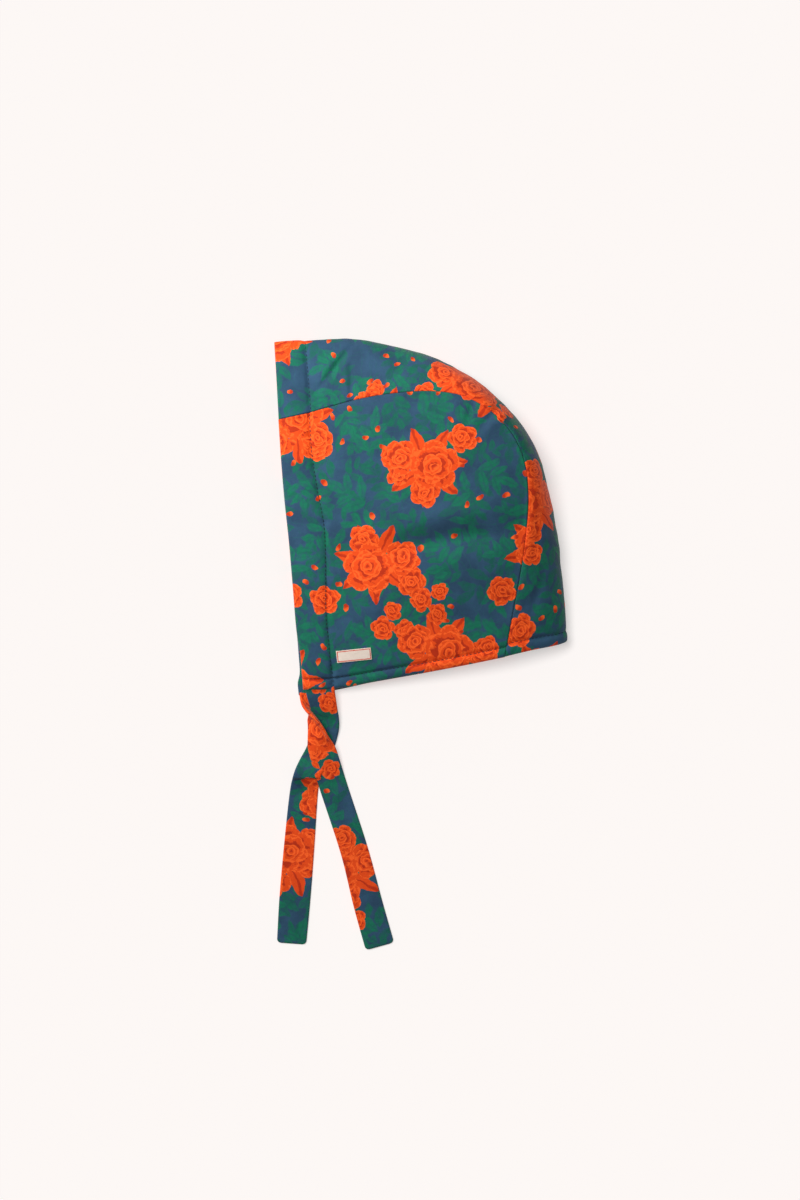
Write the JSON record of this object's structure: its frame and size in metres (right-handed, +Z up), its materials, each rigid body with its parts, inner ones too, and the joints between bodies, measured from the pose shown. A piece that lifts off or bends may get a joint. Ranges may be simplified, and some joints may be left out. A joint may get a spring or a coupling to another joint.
{
  "type": "bonnet",
  "caption": "Child's padded cloth bonnet with side panels, a crown panel from face opening to nape and flat ties, lying on its side",
  "frame": {"origin": "middle of the outline, on the surface that the bonnet lies on", "axes": "+X from the face opening to the nape, +Y from the tie ends to the crown, +Z up from the surface"},
  "size_m": [0.1824, 0.381, 0.052],
  "materials": {
    "printed_cotton": "matt printed cotton poplin over thin wadding, slate blue with green leaves and orange flowers",
    "tie_cotton": "matt printed cotton poplin, sewn double and turned",
    "label_tape": "matt woven tape, off-white with thin red edges"
  },
  "bodies": {
    "root": {"side_panel_upper": "printed_cotton", "side_panel_lower": "printed_cotton", "crown_panel": "printed_cotton", "tie_upper": "tie_cotton", "tie_lower": "tie_cotton", "label": "label_tape"}
  },
  "joints": []
}
